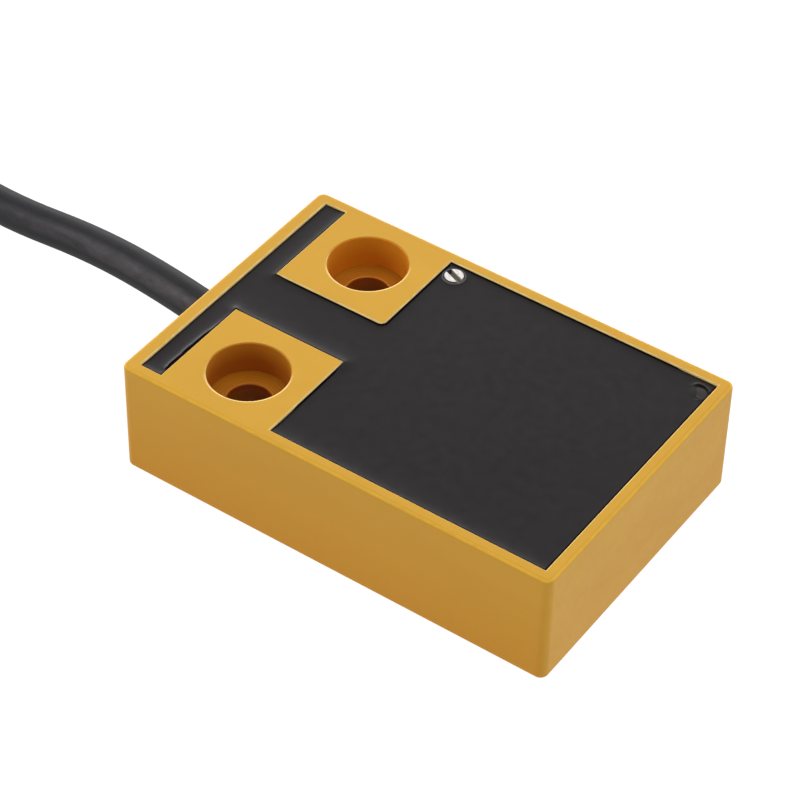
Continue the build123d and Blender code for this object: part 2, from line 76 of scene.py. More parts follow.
def add_camera():
    """A long lens that looks down at the potted side."""
    data = bpy.data.cameras.new("camera")
    data.sensor_width = SENSOR_WIDTH
    data.lens = CAMERA_LENS
    data.clip_start = 0.01
    camera = bpy.data.objects.new("camera", data)
    scene.collection.objects.link(camera)
    flat = cos(CAMERA_ELEVATION)
    back = Vector((flat * sin(CAMERA_AZIMUTH), -flat * cos(CAMERA_AZIMUTH), sin(CAMERA_ELEVATION)))
    turn = back.to_track_quat("Z", "Y").to_matrix().to_4x4() @ Matrix.Rotation(CAMERA_ROLL, 4, "Z")
    camera.matrix_world = Matrix.Translation(CAMERA_FOCUS + back * CAMERA_DISTANCE) @ turn
    scene.camera = camera


def add_soft_box(name, place, size, power):
    """A large square lamp that faces the sensor."""
    data = bpy.data.lights.new(name, "AREA")
    data.shape = "RECTANGLE"
    data.size, data.size_y = size
    data.energy = power
    lamp = bpy.data.objects.new(name, data)
    scene.collection.objects.link(lamp)
    place = Vector(place)
    lamp.matrix_world = Matrix.Translation(place) @ place.to_track_quat("Z", "Y").to_matrix().to_4x4()


def add_floor():
    """A pale, slightly glowing sheet that the sensor stands on, as a lit table in a photo tent."""
    bm = bmesh.new()
    bmesh.ops.create_grid(bm, x_segments=2, y_segments=2, size=FLOOR_HALF)
    mesh = bpy.data.meshes.new("floor")
    bm.to_mesh(mesh)
    bm.free()
    floor = bpy.data.objects.new("floor", mesh)
    floor.location.z = -FLOOR_DROP
    scene.collection.objects.link(floor)
    shader = Shader("pale_floor")
    shader.set(Roughness=0.9, Specular_IOR_Level=0.1)
    shader.set(Emission_Color=(1, 1, 1, 1), Emission_Strength=FLOOR_GLOW)
    shader.set_colour((0.12, 0.12, 0.12), shift=0.02, size=0.2)
    mesh.materials.append(shader.material)


def add_world():
    """A white tent, brighter behind the sensor than in front of it, with a bright window low at the back."""
    world = bpy.data.worlds.new("studio")
    world.use_nodes = True
    tree = world.node_tree
    place = tree.nodes.new("ShaderNodeTexCoord").outputs["Generated"]

    def towards(way, low, high, dark, bright):
        """A strength that goes from dark to bright as the sky nears a direction."""
        facing = tree.nodes.new("ShaderNodeVectorMath")
        facing.operation = "DOT_PRODUCT"
        facing.inputs[1].default_value = way
        tree.links.new(place, facing.inputs[0])
        strength = tree.nodes.new("ShaderNodeMapRange")
        strength.interpolation_type = "SMOOTHSTEP"
        for name, number in zip(("From Min", "From Max", "To Min", "To Max"), (low, high, dark, bright)):
            strength.inputs[name].default_value = number
        tree.links.new(facing.outputs["Value"], strength.inputs["Value"])
        return strength.outputs["Result"]

    tent = towards(TENT_BACK, -0.5, 0.7, TENT_FRONT_LIGHT, TENT_BACK_LIGHT)
    low_down = towards((0, 0, 1), *WINDOW_EDGES, WINDOW_LIGHT, 0.0)
    joined = tree.nodes.new("ShaderNodeMath")
    joined.operation = "MULTIPLY_ADD"
    tree.links.new(low_down, joined.inputs[0])
    tree.links.new(towards(WINDOW_WAY, 0.1, 0.8, 0.0, 1.0), joined.inputs[1])
    tree.links.new(tent, joined.inputs[2])
    tree.links.new(joined.outputs["Value"], tree.nodes["Background"].inputs["Strength"])
    tree.nodes["Background"].inputs["Color"].default_value = (1, 1, 1, 1)
    scene.world = world


def add_light():
    """Soft studio light: the tent, a broad key overhead, and a smaller lamp that runs along the cable."""
    add_world()
    add_soft_box("key", KEY_PLACE, KEY_SIZE, KEY_POWER)
    add_soft_box("side", SIDE_PLACE, SIDE_SIZE, SIDE_POWER)


# ---------------------------------------------------------------- shader kit
class Shader:
    """One procedural material: a Principled shader with patterns in the object's own coordinates."""

    def __init__(self, name):
        self.material = bpy.data.materials.new(name)
        self.material.use_nodes = True
        self.tree = self.material.node_tree
        self.surface = self.tree.nodes["Principled BSDF"]
        self.place = self.tree.nodes.new("ShaderNodeTexCoord").outputs["Object"]
        self.normal = None

    def set(self, **values):
        """Constants, straight on the shader's own sockets. An underscore stands for a space."""
        for name, value in values.items():
            self.surface.inputs[name.replace("_", " ")].default_value = value

    def add(self, kind, **inputs):
        """A new node with some inputs set or linked."""
        made = self.tree.nodes.new(kind)
        for name, value in inputs.items():
            socket = made.inputs[name.replace("_", " ")]
            if isinstance(value, bpy.types.NodeSocket):
                self.tree.links.new(value, socket)
            else:
                socket.default_value = value
        return made

    def noise(self, size, detail=3.0, roughness=0.55, stretch=(1, 1, 1), distortion=0.0):
        """Noise whose grains are about that many metres across."""
        place = self.place
        if stretch != (1, 1, 1):
            mapping = self.add("ShaderNodeMapping", Vector=self.place)
            mapping.inputs["Scale"].default_value = stretch
            place = mapping.outputs["Vector"]
        made = self.add("ShaderNodeTexNoise", Vector=place, Scale=1 / size, Detail=detail)
        made.inputs["Roughness"].default_value = roughness
        made.inputs["Distortion"].default_value = distortion
        return made.outputs["Fac"]

    def grains(self, size, feature="F1"):
        """Cells about that many metres across."""
        made = self.add("ShaderNodeTexVoronoi", Vector=self.place, Scale=1 / size)
        made.feature = feature
        return made.outputs["Distance"]

    def spread(self, value, low, high, to_low, to_high):
        """A value stretched from one range to another."""
        made = self.add("ShaderNodeMapRange", Value=value)
        for name, number in zip(("From Min", "From Max", "To Min", "To Max"), (low, high, to_low, to_high)):
            made.inputs[name].default_value = number
        return made.outputs["Result"]

    def sum(self, first, second=0.0, how="ADD"):
        """Two values added, or joined by another operation. Each is a number or a socket."""
        made = self.add("ShaderNodeMath")
        made.operation = how
        for socket, value in zip(made.inputs, (first, second)):
            if isinstance(value, bpy.types.NodeSocket):
                self.tree.links.new(value, socket)
            else:
                socket.default_value = value
        return made.outputs["Value"]

    def times(self, *values):
        """The product of some values."""
        product = values[0]
        for value in values[1:]:
            product = self.sum(product, value, "MULTIPLY")
        return product

    def size_of(self, value):
        """A value without its sign."""
        return self.sum(value, how="ABSOLUTE")

    def facing(self):
        """The three parts of the surface's direction."""
        return self.parts(self.add("ShaderNodeNewGeometry").outputs["Normal"])

    def parts(self, vector):
        """The three parts of a vector."""
        made = self.add("ShaderNodeSeparateXYZ", Vector=vector)
        return [made.outputs[name] for name in "XYZ"]

    def mix(self, share, first, second):
        """One colour turning into another. Each is a colour or a socket."""
        made = self.tree.nodes.new("ShaderNodeMix")
        made.data_type = "RGBA"
        self.tree.links.new(share, made.inputs[0])
        for socket, value in ((made.inputs[6], first), (made.inputs[7], second)):
            if isinstance(value, bpy.types.NodeSocket):
                self.tree.links.new(value, socket)
            else:
                socket.default_value = (*value, 1)
        return made.outputs[2]

    def ramp(self, value, *stops):
        """A colour ramp: each stop is a place and a colour."""
        made = self.add("ShaderNodeValToRGB", Fac=value)
        ramp = made.color_ramp
        while len(ramp.elements) < len(stops):
            ramp.elements.new(0.5)
        for element, (place, colour) in zip(ramp.elements, stops):
            element.position = place
            element.color = (*colour, 1)
        return made.outputs["Color"]

    def set_colour(self, colour, shift=0.06, size=0.006, value=None):
        """A base colour with a slow drift between a darker and a lighter tone."""
        darker = tuple(c * (1 - shift) for c in colour)
        lighter = tuple(min(1.0, c * (1 + shift)) for c in colour)
        pattern = value or self.noise(size, detail=4.0)
        self.paint(self.ramp(pattern, (0.3, darker), (0.7, lighter)))

    def paint(self, colour):
        """A patterned base colour."""
        self.tree.links.new(colour, self.surface.inputs["Base Color"])

    def set_roughness(self, low, high, pattern):
        """A roughness that goes from low to high with a pattern."""
        self.tree.links.new(self.spread(pattern, 0.3, 0.7, low, high), self.surface.inputs["Roughness"])

    def bump(self, height, depth):
        """Raises the surface by up to that many metres where the pattern is 1."""
        made = self.add("ShaderNodeBump", Height=height, Distance=depth)
        if self.normal:
            self.tree.links.new(self.normal, made.inputs["Normal"])
        self.normal = made.outputs["Normal"]
        self.tree.links.new(self.normal, self.surface.inputs["Normal"])


# ---------------------------------------------------------------- materials
HOLE_X = -17.2 * MM
HOLE_Y = 12.0 * MM
HOLE_EDGE = (2.76 * MM, 2.82 * MM)
SEAT_LIP = (2.88 * MM, 2.97 * MM, 3.03 * MM)
RECESS_EDGE = (5.3 * MM, 5.4 * MM)
RECESS_RING = (5.08 * MM, 5.14 * MM, 5.24 * MM, 5.3 * MM)
RING_WAY = (0.56, 0.83)
SEAT_RINGS = 0.42 * MM
RIM = (15.9 * MM, 16.1 * MM)
SEAT_HEIGHT = (10.5 * MM, 11.0 * MM)
POCKET_Y = (18.7 * MM, 18.9 * MM)
POCKET_X = (28.7 * MM, 28.9 * MM)


def recess_paint(made, plain, place, facing_up, from_axis):
    """The housing's colour with painted shade, darker and redder, in its screw recesses, seats and holes, and a
    painted highlight on each seat's lip. Also where the seats' rings are.
    """
    across, along, up = place
    below = made.spread(made.sum(up, made.spread(facing_up, 0.9, 0.99, 0, 1.0 * MM)), *RIM, 1, 0)
    above = made.spread(up, *SEAT_HEIGHT, 0, 1)
    in_recess = made.times(made.spread(from_axis, *RECESS_EDGE, 1, 0), below, above)
    in_hole = made.spread(from_axis, *HOLE_EDGE, 1, 0)
    # Painted shade on the recess walls: the back recess's wall lighter than the front one's, each lighter
    # towards the rim.
    wall = made.mix(made.spread(along, -6.0 * MM, 6.0 * MM, 0, 1), (0.42, 0.125, 0.0095), (0.68, 0.24, 0.013))
    wall = made.mix(made.spread(up, 13.2 * MM, 16.0 * MM, 0, 0.45), wall, (0.85, 0.4, 0.03))
    rings = made.sum(made.times(from_axis, 2 * pi / SEAT_RINGS), how="SINE")
    seat = made.mix(made.spread(rings, 0.2, 1, 0, 0.35), (0.4, 0.142, 0.005), (0.24, 0.07, 0.004))
    # A painted highlight: a pale line on the seat's lip round the through hole.
    lip_start, lip_middle, lip_end = SEAT_LIP
    lip_inside = made.spread(from_axis, HOLE_EDGE[1], lip_start, 0, 1)
    lip = made.times(lip_inside, made.spread(from_axis, lip_middle, lip_end, 1, 0))
    seat = made.mix(made.times(lip, 0.3), seat, (0.55, 0.25, 0.025))
    on_seat = made.spread(facing_up, 0.5, 0.9, 0, 1)
    recess_shade = made.mix(in_recess, plain, made.mix(on_seat, wall, seat))
    # Painted shade down the through hole.
    shaded_recesses = made.mix(made.times(in_hole, 0.85), recess_shade, (0.23, 0.048, 0.006))
    return shaded_recesses, made.times(rings, on_seat, in_recess)


def edge_paint(made, plain, place, facing, off_x, from_axis):
    """The housing's colour with a painted highlight on its upper edges, where they turn from upright to level,
    and on the tops of the pocket's inner walls.
    """
    across, along, up = place
    # Painted highlight on the upper edges, round the recesses only on the side facing the light.
    turning = made.times(made.spread(facing[2], 0.3, 0.6, 0, 1), made.spread(facing[2], 0.85, 0.97, 1, 0))
    near_side = made.spread(facing[1], 0.0, 0.35, 0, 1)
    round_hole = made.spread(from_axis, 5.3 * MM, 5.6 * MM, 1, 0)
    shown = made.sum(1.0, made.times(round_hole, made.sum(1.0, near_side, "SUBTRACT")), "SUBTRACT")
    high = made.times(made.spread(up, 15.3 * MM, 15.7 * MM, 0, 1), shown)
    edge_highlight = made.times(turning, high, made.spread(made.noise(1.2 * MM), 0.3, 0.6, 0.45, 0.8))
    off_pocket = made.spread(made.size_of(along), *POCKET_Y, 1, 0)
    inner = made.times(off_pocket, made.spread(made.size_of(across), *POCKET_X, 1, 0))
    # Painted highlight on the tops of the pocket's inner walls.
    upright = made.times(made.spread(facing[2], 0.3, 0.6, 0.75, 0), made.spread(up, 15.4 * MM, 15.6 * MM, 0, 1))
    pocket_wall = made.times(upright, made.spread(from_axis, 5.3 * MM, 5.6 * MM, 0, 1), inner)
    edge_highlight = made.sum(edge_highlight, pocket_wall, "MAXIMUM")
    edged = made.mix(edge_highlight, plain, made.mix(inner, (0.75, 0.43, 0.04), (0.86, 0.68, 0.3)))

    # A painted highlight: a pale ring on the front side of each recess, where the rim catches the light.
    ring_in, ring_from, ring_to, ring_out = RECESS_RING
    inside_ring = made.spread(from_axis, ring_in, ring_from, 0, 1)
    rim_highlight = made.times(inside_ring, made.spread(from_axis, ring_to, ring_out, 1, 0))
    nearer_hole = made.spread(along, -0.1 * MM, 0.1 * MM, -HOLE_Y, HOLE_Y)
    off_y = made.sum(along, nearer_hole, "SUBTRACT")
    towards_front = made.sum(made.times(off_x, RING_WAY[0]), made.times(off_y, RING_WAY[1]), "SUBTRACT")
    rim_highlight = made.times(rim_highlight, made.spread(towards_front, 0.0, 2.5 * MM, 0, 0.75))
    rim_highlight = made.times(rim_highlight, made.spread(up, 15.5 * MM, 15.7 * MM, 0, 1))
    return made.mix(rim_highlight, edged, (0.92, 0.7, 0.3))


def moulded_housing():
    """Satin yellow moulding, slightly translucent, with painted highlights along its upper edges and painted
    shade on its sides and, darker and redder, in its screw recesses.
    """
    made = Shader("moulded_housing")
    flow = made.noise(11.0 * MM, detail=2.0, stretch=(0.5, 1, 2.2), distortion=0.6)
    plain = made.ramp(flow, (0.3, (0.553, 0.298, 0.027)), (0.7, (0.592, 0.32, 0.031)))
    place = made.parts(made.place)
    facing = made.facing()

    # Painted shade on the sides, most of all on the long ones and towards the bottom.
    downwards = made.spread(place[2], 0.5 * MM, 15.5 * MM, 1.0, 0.25)
    sideways = made.times(made.spread(facing[2], 0.2, 0.8, 1, 0), downwards)
    lengthways = made.spread(made.size_of(facing[0]), 0.3, 0.8, 1, 0.35)
    plain = made.mix(made.times(sideways, lengthways), plain, (0.55, 0.243, 0.007))

    # How far a point is from the axis of the nearer hole.
    off_y = made.sum(made.size_of(place[1]), HOLE_Y, "SUBTRACT")
    off_x = made.sum(place[0], HOLE_X, "SUBTRACT")
    from_axis = made.sum(made.sum(made.times(off_x, off_x), made.times(off_y, off_y)), 0.5, "POWER")
    shaded_recesses, rings = recess_paint(made, plain, place, facing[2], from_axis)
    made.paint(edge_paint(made, shaded_recesses, place, facing, off_x, from_axis))

    # Faint turning rings on the seat, sparked grain elsewhere.
    made.set_roughness(0.42, 0.52, made.noise(1.1 * MM))
    made.bump(rings, 0.01 * MM)
    made.bump(made.noise(0.16 * MM, detail=2.0), 0.008 * MM)
    made.bump(made.noise(0.9 * MM, detail=2.0), 0.006 * MM)
    made.set(Subsurface_Weight=0.2, Subsurface_Scale=1.0 * MM, Subsurface_Radius=(1.0, 0.42, 0.08))
    made.set(IOR=1.5, Specular_IOR_Level=0.17)
    return made.material


def potting_resin():
    """Cured black resin: a soft gloss with faint dust and very slight waves."""
    made = Shader("potting_resin")
    made.set_colour((0.007, 0.0045, 0.005), shift=0.12, size=0.007)
    made.set_roughness(0.3, 0.42, made.noise(0.0013))
    made.bump(made.noise(0.0045, detail=1.0), 0.00002)
    made.bump(made.noise(0.0004, detail=3.0), 0.000004)
    made.set(IOR=1.52, Specular_IOR_Level=0.195)
    return made.material


DUST_AND_HIGHLIGHT_WAY = (0.77, 0.64)


def cable_sheath():
    """Dark grey soft PVC with a fine matt extruded skin, with dust and a painted highlight streak on its front
    side near the housing.
    """
    made = Shader("cable_sheath")
    plain = made.ramp(made.noise(2.2 * MM), (0.3, (0.0205, 0.02, 0.022)), (0.7, (0.026, 0.025, 0.0275)))
    facing_along, facing_up = made.facing()[1:]
    # Dust and a painted highlight: a paler, scuffed streak on the side facing one way, strongest near the
    # housing.
    towards = made.sum(made.times(facing_up, DUST_AND_HIGHLIGHT_WAY[1]), made.times(facing_along, DUST_AND_HIGHLIGHT_WAY[0]), "SUBTRACT")
    near_housing = made.spread(made.parts(made.place)[0], -80.0 * MM, -45.0 * MM, 0.15, 1)
    scuffs = made.spread(made.noise(0.9 * MM, detail=4.0, stretch=(0.4, 1, 1)), 0.3, 0.65, 0.35, 1)
    dust_and_highlight = made.times(made.spread(towards, 0.84, 1.0, 0, 1), near_housing, scuffs)
    made.paint(made.mix(dust_and_highlight, plain, (0.085, 0.078, 0.083)))
    made.set_roughness(0.5, 0.6, made.noise(0.9 * MM))
    made.bump(made.noise(0.22 * MM, detail=3.0), 0.012 * MM)
    made.bump(made.noise(1.8 * MM, detail=1.0), 0.02 * MM)
    made.set(IOR=1.5, Specular_IOR_Level=0.0, Coat_Weight=0.28, Coat_Roughness=0.42)
    return made.material


def plain_plastic(name, colour, roughness=(0.4, 0.55), grain=0.0003, depth=0.000008, shift=0.08, **constants):
    """A moulded plastic with fine grain."""
    made = Shader(name)
    made.set_colour(colour, shift=shift, size=0.0025)
    made.set_roughness(*roughness, made.noise(grain * 4))
    made.bump(made.noise(grain), depth)
    made.set(**constants)
    return made.material


def turned_metal(name, colour, roughness=(0.22, 0.38), stretch=(1, 1, 8), grain=0.0004):
    """A bright metal with fine tool marks."""
    made = Shader(name)
    marks = made.noise(grain, detail=5.0, stretch=stretch)
    made.set_colour(colour, shift=0.08, value=marks)
    made.set_roughness(*roughness, marks)
    made.bump(marks, 0.000004)
    made.set(Metallic=1.0)
    return made.material


def nickelled_brass():
    """Bright plated brass, duller in the bottom of the adjusting screw's slot, with painted shade darkening it
    there.
    """
    made = Shader("nickelled_brass")
    marks = made.noise(0.3 * MM, detail=4.0, stretch=(1, 1, 3))
    bright = made.ramp(marks, (0.35, (0.6, 0.56, 0.55)), (0.6, (0.84, 0.8, 0.77)))
    # Painted shade in the bottom of the slot, which is also made rougher.
    up = made.parts(made.place)[2]
    above_bottom = made.spread(up, 15.1 * MM, 15.2 * MM, 0, 1)
    in_slot = made.times(above_bottom, made.spread(up, 15.6 * MM, 15.8 * MM, 1, 0))
    made.paint(made.mix(in_slot, bright, (0.42, 0.385, 0.33)))
    dull = made.sum(made.spread(marks, 0.3, 0.7, 0.38, 0.5), made.times(in_slot, 0.45))
    made.tree.links.new(dull, made.surface.inputs["Roughness"])
    made.bump(marks, 0.004 * MM)
    made.set(Metallic=1.0)
    return made.material


def board_laminate():
    """Green solder mask over a faint weave, with traces showing as a slight relief."""
    made = Shader("board_laminate")
    made.set_colour((0.012, 0.12, 0.045), shift=0.25, value=made.grains(0.0021))
    made.set_roughness(0.22, 0.35, made.noise(0.001))
    made.bump(made.grains(0.0013, "DISTANCE_TO_EDGE"), 0.00003)
    made.set(IOR=1.5)
    return made.material


MATERIALS = {
    "moulded_housing": moulded_housing,
    "potting_resin": potting_resin,
    "cable_sheath": cable_sheath,
    "board_laminate": board_laminate,
    "copper": lambda: turned_metal("copper", (0.75, 0.36, 0.2)),
    "tinned_sheet": lambda: turned_metal("tinned_sheet", (0.62, 0.62, 0.6), (0.3, 0.45)),
    "solder": lambda: turned_metal("solder", (0.66, 0.66, 0.64), (0.18, 0.3), (1, 1, 1)),
    "nickelled_brass": nickelled_brass,
    "spring_metal": lambda: turned_metal("spring_metal", (0.6, 0.55, 0.4)),
    "trimmer_plastic": lambda: plain_plastic("trimmer_plastic", (0.02, 0.09, 0.33)),
    "trimmer_resin": lambda: plain_plastic("trimmer_resin", (0.3, 0.2, 0.08), (0.2, 0.35)),
    "trimmer_ceramic": lambda: plain_plastic("trimmer_ceramic", (0.78, 0.76, 0.7), (0.5, 0.7)),
    "resistive_track": lambda: plain_plastic("resistive_track", (0.02, 0.02, 0.02), (0.5, 0.7)),
    "seal_rubber": lambda: plain_plastic("seal_rubber", (0.018, 0.018, 0.018), (0.55, 0.7)),
    "carriage_plastic": lambda: plain_plastic("carriage_plastic", (0.75, 0.73, 0.68)),
    "collar_plastic": lambda: plain_plastic("collar_plastic", (0.06, 0.058, 0.052), (0.25, 0.35)),
    "led_resin": lambda: plain_plastic(
        "led_resin", (0.016, 0.0075, 0.009), (0.18, 0.3), Specular_IOR_Level=0.45
    ),
    "chip_plastic": lambda: plain_plastic("chip_plastic", (0.02, 0.02, 0.022), (0.6, 0.75)),
    "tantalum_plastic": lambda: plain_plastic("tantalum_plastic", (0.7, 0.4, 0.05)),
    "capacitor_ceramic": lambda: plain_plastic("capacitor_ceramic", (0.45, 0.28, 0.15), (0.4, 0.6)),
    "ferrite": lambda: plain_plastic("ferrite", (0.05, 0.048, 0.046), (0.5, 0.7)),
    "brown_insulation": lambda: plain_plastic("brown_insulation", (0.16, 0.055, 0.022), (0.3, 0.42)),
    "blue_insulation": lambda: plain_plastic("blue_insulation", (0.02, 0.12, 0.42), (0.3, 0.42)),
    "black_insulation": lambda: plain_plastic("black_insulation", (0.02, 0.02, 0.021), (0.3, 0.42)),
    "tie_nylon": lambda: plain_plastic("tie_nylon", (0.022, 0.022, 0.023), (0.35, 0.5)),
}
made_materials = {}


def finish_of(slot):
    """The material of one of the record's slots, made once."""
    if slot not in made_materials:
        made_materials[slot] = MATERIALS[slot]()
    return made_materials[slot]


def dress(obj, slot):
    """Gives a piece its one material."""
    obj.data.materials.clear()
    obj.data.materials.append(finish_of(slot))


def dress_cad_nodes():
    """Every CAD node keeps its shape and takes its slot's material."""
    for entry in frame["record"]["subparts"]:
        dress(nodes[entry["node"]], entry["material_slot"])


# ---------------------------------------------------------------- the cable and its hank
CABLE_DIAMETER = 4.8 * MM
CABLE_ROUTE = [
    (-29.5, -0.1, 8.0),
    (-38.0, 1.4, 8.0),
    (-53.0, 3.7, 6.6),
    (-68.0, 3.6, 5.0),
    (-82.0, 6.4, 3.2),
    (-95.8, 12.4, 2.6),
    (-108.8, 18.8, 3.0),
]
CABLE_END_ROUTE = [
    (43.0, -8.0, 18.2),
    (45.0, 3.0, 19.2),
    (40.5, 12.8, 20.4),
    (31.0, 18.3, 21.3),
    (20.5, 18.2, 21.55),
    (11.5, 12.6, 21.58),
]
HANK_X = -135.0
HANK_BASE = 0.7
HANK_PITCH = 4.65
HANK_TURNS = 8
LOOP_CENTRE = 26.1
LOOP_RADIUS = 13.65
LOOP_STEP = 32
LOOP_STEPS = 9
LOOP_START = 232
RISE_START = 270
RISE_SPAN = 180
ROUND_UP = 1.03
WAIST_REACH = 5.0
WAIST_HALF = 2.35
BULGE = 0.45


def hank_place(turn):
    """A turn's layer, 0 inside or 1 outside, and its level, which holds two turns."""
    level = turn // 2
    outside = (turn % 4) in (0, 3)
    return (1.0 if outside else 0.0), float(level)


def eased(share):
    """A share from 0 to 1 that starts and ends gently."""
    share = min(1.0, max(0.0, share))
    return share * share * (3 - 2 * share)


def hank_points():
    """Control points of the put-away turns: ovals drawn in at the waist, each leading up or out to the next."""
    points = []
    for turn in range(HANK_TURNS):
        layer, level = hank_place(turn)
        next_layer, next_level = hank_place(turn + 1)

        def lay(x, y, level=level):
            points.append((HANK_X + x, y, HANK_BASE + HANK_PITCH * (level + 0.5)))

        def around(side, angle, layer=layer, level=level, bulge=0.0):
            radius = (LOOP_RADIUS + HANK_PITCH * (layer + bulge)) * ROUND_UP
            lay(side * LOOP_CENTRE + radius * cos(radians(angle)), radius * sin(radians(angle)), level)

        waist = WAIST_HALF + HANK_PITCH * layer
        if turn == 0:
            around(1, LOOP_START + LOOP_STEP * (LOOP_STEPS - 1))
        lay(WAIST_REACH, waist)
        lay(-WAIST_REACH, waist)
        for step in range(LOOP_STEPS):
            around(-1, LOOP_START - 180 + LOOP_STEP * step)
        lay(-WAIST_REACH, -waist)
        lay(WAIST_REACH, -waist)
        for step in range(LOOP_STEPS):
            angle = LOOP_START + LOOP_STEP * step
            share = eased((angle - RISE_START) / RISE_SPAN)
            outward = 1 if layer else -1
            bulge = outward * BULGE * sin(pi * share) if next_level > level else 0.0
            if turn == HANK_TURNS - 1 and step > 2:
                break
            next_place = (layer + (next_layer - layer) * share, level + (next_level - level) * share)
            around(1, angle, *next_place, bulge)
    return points


def nurbs_cord(name, points, diameter, slot):
    """A round cord on one smooth curve through a list of control points in millimetres."""
    curve = bpy.data.curves.new(name, "CURVE")
    curve.dimensions = "3D"
    curve.resolution_u = 6
    curve.bevel_depth = 1.0  # times each point's radius, which is also what the curve's own box counts
    curve.bevel_resolution = 8
    curve.use_fill_caps = True
    spline = curve.splines.new("NURBS")
    spline.points.add(len(points) - 1)
    for point, place in zip(spline.points, points):
        point.co = (*(Vector(place) * MM), 1)
        point.radius = diameter / 2
    spline.order_u = 3
    spline.use_endpoint_u = True
    cord = bpy.data.objects.new(name, curve)
    scene.collection.objects.link(cord)
    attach(cord, BODY)
    curve.materials.append(finish_of(slot))
    return cord


def add_cable():
    """The whole cable, from the end face to its stripped end on top of the hank."""
    ends = [(HANK_X + x, y, z) for x, y, z in CABLE_END_ROUTE]
    cable = nurbs_cord("sensor_cable", CABLE_ROUTE + hank_points() + ends, CABLE_DIAMETER, "cable_sheath")
    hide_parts("cable", "cable_hank", "cable_end")


# ---------------------------------------------------------------- the resin's cast surface
STRIP_LEFT = -28.15
STRIP_RIGHT = -25.15
BOSS_RIGHT = -9.3
FIELD_RIGHT = 28.45
POCKET_HALF = 18.4
NECK_HALF = 4.0
CORNER = (-10.1, 4.8)
CORNER_RADIUS = 0.8
WALL_GAP = 0.03
SKIN_BOTTOM = 15.49
SKIN_TOP = 15.68
SCREW = (-7.55, 16.45)
COLLAR_RADIUS = 1.5
LED = (26.8, 16.3)
LED_RIM = 1.15
LED_OPENING = (27.0, 16.22)
LED_BEAD = (27.5, 15.52)


def lines_between(low, high, fine_spots, coarse=0.75, fine=0.025, growth=0.28):
    """Grid lines from one wall to another, close together near the fine spots."""
    places = [low]
    while places[-1] < high:
        nearest = min(abs(places[-1] - spot) for spot in fine_spots)
        step = min(coarse, fine + growth * max(0.0, nearest - 0.18))
        ahead = [spot for spot in fine_spots if places[-1] + 1e-6 < spot <= places[-1] + 1.4 * step]
        places.append(ahead[0] if ahead else places[-1] + step)
    places[-1] = high
    return places


def patch_lines(low, high, step):
    """Evenly spaced lines across a round detail."""
    count = max(1, round((high - low) / step))
    return [low + (high - low) * number / count for number in range(count + 1)]


def merged(first, second, low, high):
    """One list of lines, in which the second list replaces the first between low and high."""
    kept = [place for place in first if place < low - 0.02 or place > high + 0.02]
    return sorted(kept + second)


def inside_pocket(x, y):
    """How far a point is inside the resin's outline, up to about a millimetre. Negative is in a wall."""
    strip = min(x - STRIP_LEFT, STRIP_RIGHT - x, POCKET_HALF - abs(y))
    neck = min(x - STRIP_LEFT, FIELD_RIGHT - x, NECK_HALF - abs(y))
    field = min(x - BOSS_RIGHT, FIELD_RIGHT - x, POCKET_HALF - abs(y))
    depth = max(strip, neck, field)
    if CORNER[0] < x < BOSS_RIGHT and NECK_HALF < y < CORNER[1]:
        depth = max(depth, hypot(x - CORNER[0], y - CORNER[1]) - CORNER_RADIUS)
    return min(depth, hypot(x - SCREW[0], y - SCREW[1]) - COLLAR_RADIUS)


WALLS = (
    # x and y of one end, x and y of the other, how far the resin climbs the wall, and how far that reaches.
    # No climb stands for a thin film up the wall with an open shrinkage line beside it.
    (STRIP_LEFT, -POCKET_HALF, STRIP_LEFT, POCKET_HALF, 0, 0),
    (STRIP_LEFT, POCKET_HALF, STRIP_RIGHT, POCKET_HALF, 0, 0),
    (STRIP_LEFT, -POCKET_HALF, STRIP_RIGHT, -POCKET_HALF, 0.2, 0.7),
    (STRIP_RIGHT, -POCKET_HALF, STRIP_RIGHT, -NECK_HALF, 0.2, 0.7),
    (STRIP_RIGHT, NECK_HALF, STRIP_RIGHT, POCKET_HALF, 0.2, 0.7),
    (STRIP_RIGHT, -NECK_HALF, BOSS_RIGHT, -NECK_HALF, 0.24, 0.9),
    (STRIP_RIGHT, NECK_HALF, CORNER[0], NECK_HALF, 0, 0),
    (BOSS_RIGHT, -POCKET_HALF, BOSS_RIGHT, -NECK_HALF, 0, 0),
    (BOSS_RIGHT, CORNER[1], BOSS_RIGHT, POCKET_HALF, 0, 0),
    (BOSS_RIGHT, POCKET_HALF, FIELD_RIGHT, POCKET_HALF, 0, 0),
    (BOSS_RIGHT, -POCKET_HALF, FIELD_RIGHT, -POCKET_HALF, 0.2, 0.9),
    (FIELD_RIGHT, -POCKET_HALF, FIELD_RIGHT, POCKET_HALF, 0.03, 0.3),
)
GROOVE_DEPTH = 0.12
GROOVE_WIDTH = 0.05
END_GAP = 0.225
END_GAP_DEPTH = 0.19
FILM_RISE = 0.16
FILM_THICKNESS = 0.055
LINE_DEPTH = 0.19
LINE_MIDDLE = 0.09
LINE_WIDTH = 0.03


def wall_distance(x, y, wall):
    """How far a point is from a wall."""
    from_x, from_y, to_x, to_y = wall[:4]
    return hypot(x - min(max(x, from_x), to_x), y - min(max(y, from_y), to_y))


def crevice_width(y):
    """The gap where the resin has pulled off the front boss, widest near the strip's end."""
    opening = eased((-6.0 - y) / 6.5) * eased((y + 17.6) / 0.7)
    return opening * (0.36 + 0.05 * sin(2.3 * y) + 0.03 * sin(5.1 * y + 1.0))


